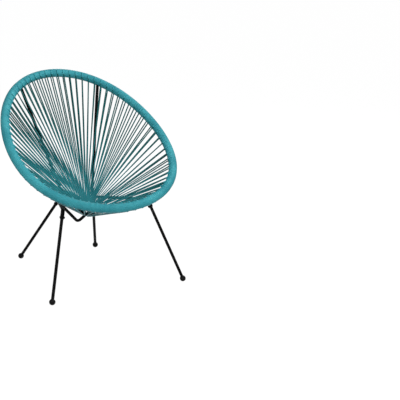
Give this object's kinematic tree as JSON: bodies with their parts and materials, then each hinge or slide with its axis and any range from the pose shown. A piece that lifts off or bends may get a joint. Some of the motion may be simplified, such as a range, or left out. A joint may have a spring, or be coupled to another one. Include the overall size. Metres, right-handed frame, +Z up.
{
  "type": "acapulco chair",
  "caption": "Patio chair with a leaning egg shaped hoop wound in teal cord, cord pairs drawn down to a small ring as the seat, and a black tube frame on splayed legs with ball feet.",
  "frame": {"origin": "on the floor, below the middle of the hoop", "axes": "+Z up, -Y the way the sitter faces, +X to the right of someone who stands in front of the chair"},
  "size_m": [0.7084, 0.6587, 0.8055],
  "materials": {
    "cord": "smooth PVC cord, satin, teal",
    "frame": "black satin powder coat on steel tube",
    "fasteners": "blackened zinc plated steel",
    "feet": "moulded black rubber, matt"
  },
  "bodies": {
    "root": {"seat_cords_right_1": "cord", "seat_cords_right_2": "cord", "seat_cords_right_3": "cord", "seat_cords_right_4": "cord", "seat_cords_right_5": "cord", "seat_cords_right_6": "cord", "seat_cords_left_1": "cord", "seat_cords_left_2": "cord", "seat_cords_left_3": "cord", "seat_cords_left_4": "cord", "seat_cords_left_5": "cord", "seat_cords_left_6": "cord", "hoop_tube": "frame", "bottom_ring": "frame", "v_brace": "frame", "left_back_strut": "frame", "left_side_rail": "frame", "left_front_socket": "frame", "left_front_leg": "frame", "left_front_bolt": "fasteners", "left_front_nut": "fasteners", "left_front_foot": "feet", "left_rear_socket": "frame", "left_rear_leg": "frame", "left_rear_bolt": "fasteners", "left_rear_nut": "fasteners", "left_rear_foot": "feet", "right_back_strut": "frame", "right_side_rail": "frame", "right_front_socket": "frame", "right_front_leg": "frame", "right_front_bolt": "fasteners", "right_front_nut": "fasteners", "right_front_foot": "feet", "right_rear_socket": "frame", "right_rear_leg": "frame", "right_rear_bolt": "fasteners", "right_rear_nut": "fasteners", "right_rear_foot": "feet"}
  },
  "joints": []
}
